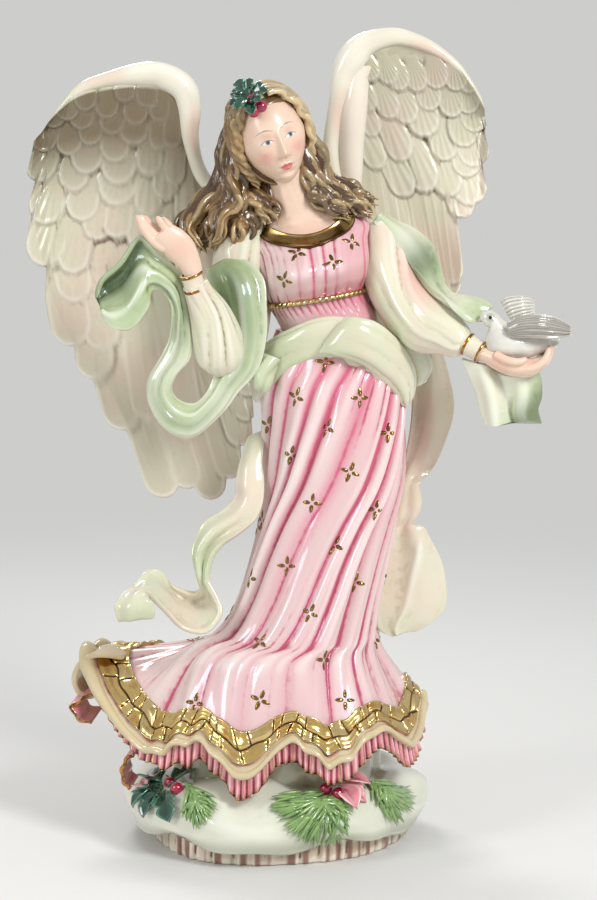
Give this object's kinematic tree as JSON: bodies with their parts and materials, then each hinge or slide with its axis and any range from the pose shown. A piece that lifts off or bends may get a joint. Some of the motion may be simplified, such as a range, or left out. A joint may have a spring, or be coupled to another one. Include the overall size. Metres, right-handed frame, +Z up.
{
  "type": "angel figurine",
  "caption": "Glazed ceramic angel with spread wings and a dove on one hand, in a flowing gown on a snowy mound with holly and pine.",
  "frame": {"origin": "middle of the base's flat underside", "axes": "+Z up; -Y is the front that the angel faces; +X is at the angel's left hand, where the dove sits"},
  "size_m": [0.2955, 0.145, 0.4464],
  "materials": {
    "pearl": "glossy pearl lustre glaze",
    "pink_gown": "glossy translucent pink glaze, deeper in the folds",
    "rose_petticoat": "glossy rose glaze",
    "green_shawl": "glossy pale green glaze, darker in the folds",
    "gold_lustre": "gold lustre over glossy glaze",
    "skin": "hand painted, satin",
    "hair": "glossy brown glaze with blond highlights",
    "dove_white": "glossy white glaze shaded with grey",
    "snow": "glossy off-white glaze",
    "bark": "glossy brown wash over ribs",
    "holly": "glossy dark green glaze",
    "pine": "glossy leaf green glaze",
    "berry": "glossy crimson glaze"
  },
  "bodies": {
    "root": {"log_base": "bark", "snow_mound": "snow", "gown_skirt": "pink_gown", "hem_band": "gold_lustre", "petticoat_frill": "rose_petticoat", "underskirt": "rose_petticoat", "bodice": "pink_gown", "chest_and_neck": "skin", "bust_cord": "gold_lustre", "neckline_collar": "gold_lustre", "head": "skin", "hair_crown": "hair", "hair_fall_right": "hair", "hair_fall_left": "hair", "right_upper_sleeve": "pearl", "right_forearm_sleeve": "pearl", "left_sleeve": "pearl", "right_cuff": "gold_lustre", "left_cuff": "gold_lustre", "waist_sash": "pearl", "sash_tail_right": "pearl", "sash_tail_left": "pearl", "right_hand": "skin", "left_hand": "skin", "dove_body": "dove_white", "dove_wing_near": "dove_white", "dove_wing_far": "dove_white", "shawl_right": "green_shawl", "shawl_left": "green_shawl", "shawl_left_flap": "green_shawl", "wing_right": "pearl", "wing_left": "pearl", "crown_berry_1": "berry", "crown_berry_2": "berry", "crown_berry_3": "berry", "crown_holly_leaf_1": "holly", "crown_holly_leaf_2": "holly", "crown_holly_leaf_3": "holly", "base_holly_leaf_1": "holly", "base_holly_leaf_2": "holly", "base_holly_leaf_3": "holly", "base_pine_sprig_1": "pine", "base_pine_sprig_2": "pine", "base_pine_sprig_3": "pine", "base_petal_1": "rose_petticoat", "base_petal_2": "rose_petticoat", "base_petal_3": "rose_petticoat", "base_berry_1": "berry", "base_berry_2": "berry", "base_berry_3": "berry", "base_berry_4": "berry"}
  },
  "joints": []
}
